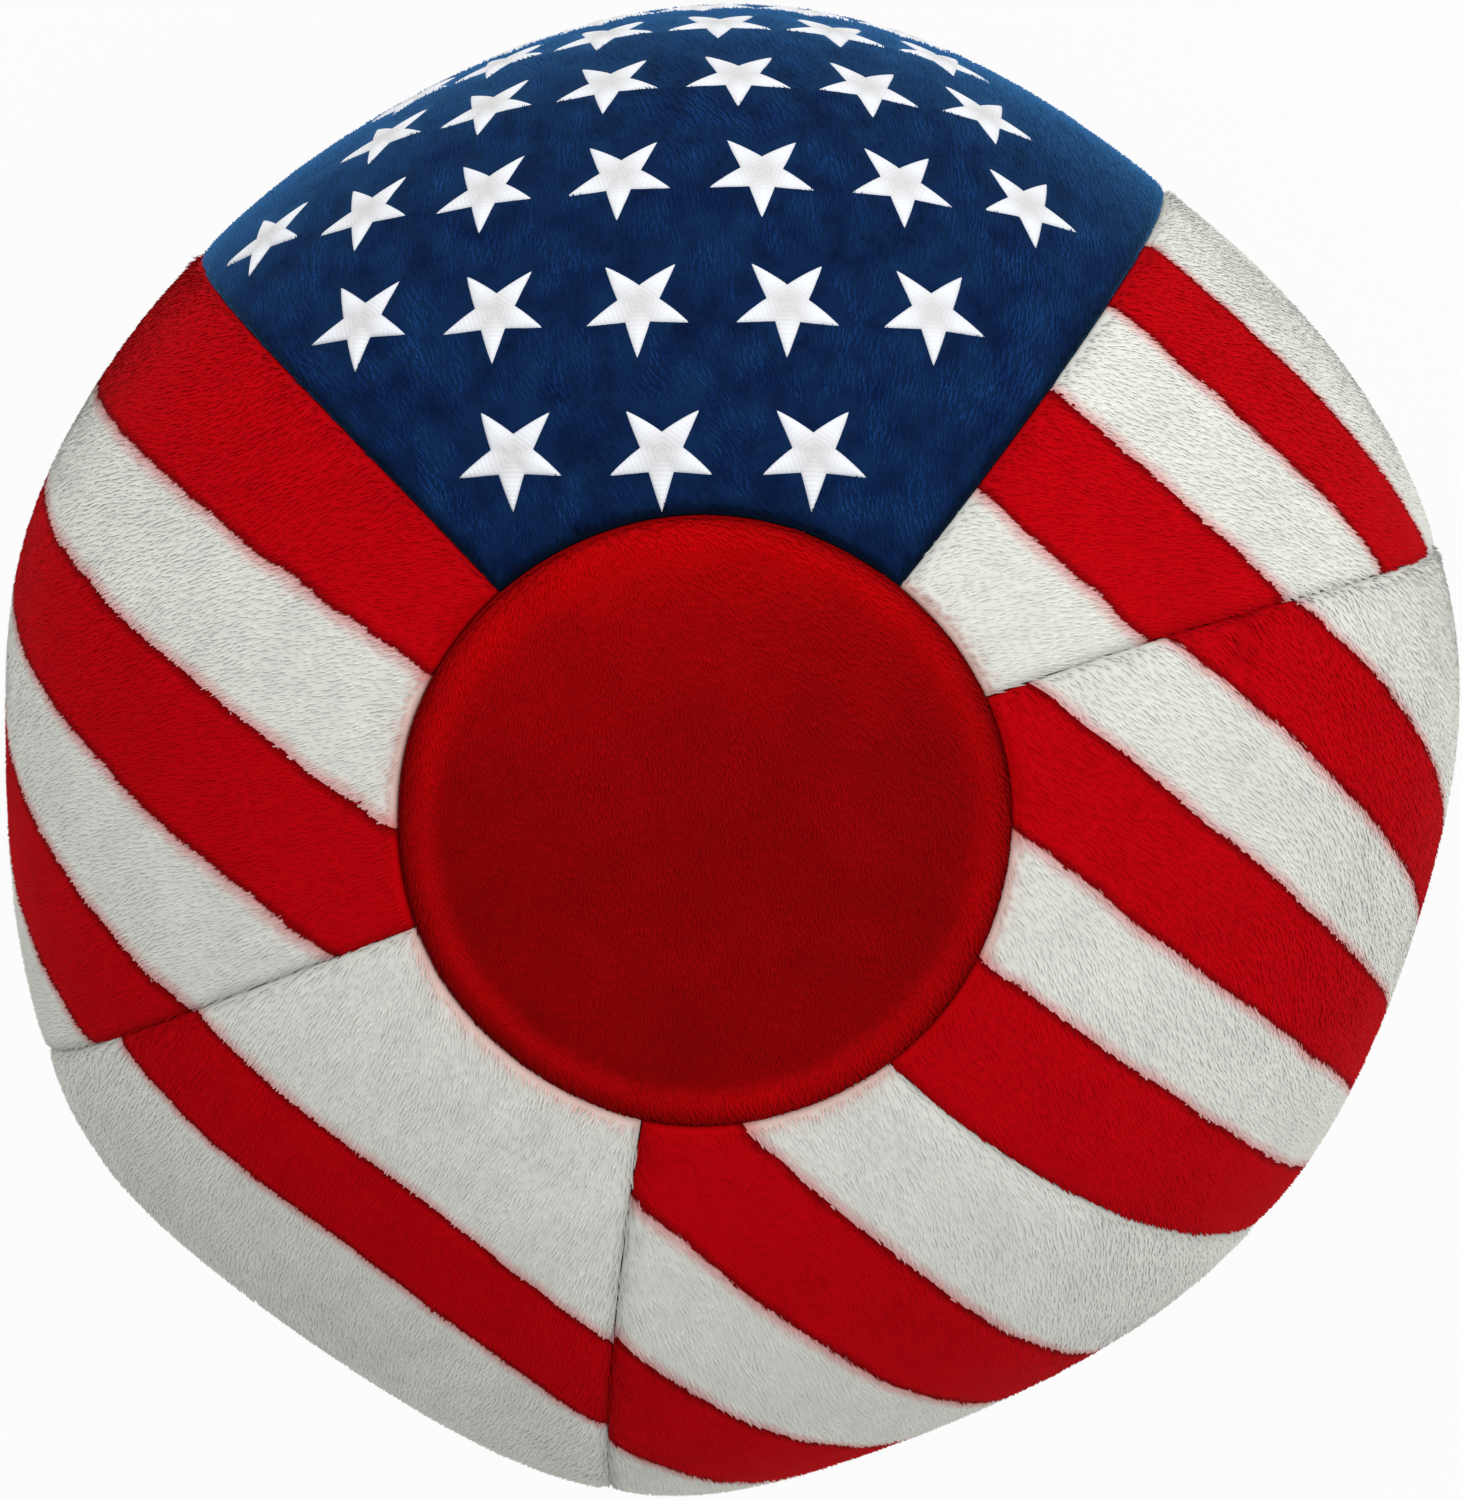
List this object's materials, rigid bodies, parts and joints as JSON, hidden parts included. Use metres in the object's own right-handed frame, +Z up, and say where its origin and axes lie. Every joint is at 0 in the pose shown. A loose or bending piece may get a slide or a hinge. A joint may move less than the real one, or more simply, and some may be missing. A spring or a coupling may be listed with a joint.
{
  "type": "footbag",
  "caption": "Soft plush footbag sewn from round caps and curved side panels, with stars on a blue panel and stripes on the others, loosely filled with pellets for kicking.",
  "frame": {"origin": "centre of the flat bottom that the bag stands on", "axes": "+Z up through both caps, +Y towards the middle of the blue star panel, +X to the right in the picture"},
  "size_m": [0.0551, 0.0573, 0.0445],
  "materials": {
    "red_velour": "short smooth pile",
    "striped_plush": "short plush pile printed with red stripes",
    "blue_plush": "short plush pile",
    "star_thread": "satin stitch",
    "seam_thread": "twisted thread",
    "pellets": "matte"
  },
  "bodies": {
    "shell": {"top_cap": "red_velour", "bottom_cap": "red_velour", "star_panel": "blue_plush", "stripe_panel_1": "striped_plush", "stripe_panel_2": "striped_plush", "stripe_panel_3": "striped_plush", "stripe_panel_4": "striped_plush", "stripe_panel_5": "striped_plush", "side_thread_1": "seam_thread", "side_thread_2": "seam_thread", "side_thread_3": "seam_thread", "side_thread_4": "seam_thread", "side_thread_5": "seam_thread", "side_thread_6": "seam_thread", "top_thread": "seam_thread", "bottom_thread": "seam_thread", "closing_thread": "seam_thread", "star_01": "star_thread", "star_02": "star_thread", "star_03": "star_thread", "star_04": "star_thread", "star_05": "star_thread", "star_06": "star_thread", "star_07": "star_thread", "star_08": "star_thread", "star_09": "star_thread", "star_10": "star_thread", "star_11": "star_thread", "star_12": "star_thread", "star_13": "star_thread", "star_14": "star_thread", "star_15": "star_thread", "star_16": "star_thread", "star_17": "star_thread", "star_18": "star_thread", "star_19": "star_thread", "star_20": "star_thread", "star_21": "star_thread", "star_22": "star_thread", "star_23": "star_thread", "star_24": "star_thread", "star_25": "star_thread", "star_26": "star_thread", "star_27": "star_thread", "star_28": "star_thread", "star_29": "star_thread", "star_30": "star_thread", "star_31": "star_thread", "star_32": "star_thread", "star_33": "star_thread", "star_34": "star_thread", "star_35": "star_thread", "star_36": "star_thread", "star_37": "star_thread", "star_38": "star_thread", "star_39": "star_thread", "star_40": "star_thread"},
    "fill": {"pellet_fill": "pellets"}
  },
  "joints": [
    {"name": "fill_shift", "type": "slide", "parent": "shell", "child": "fill", "axis": [0, 0, 1], "range_m": [0, 0.003]}
  ]
}
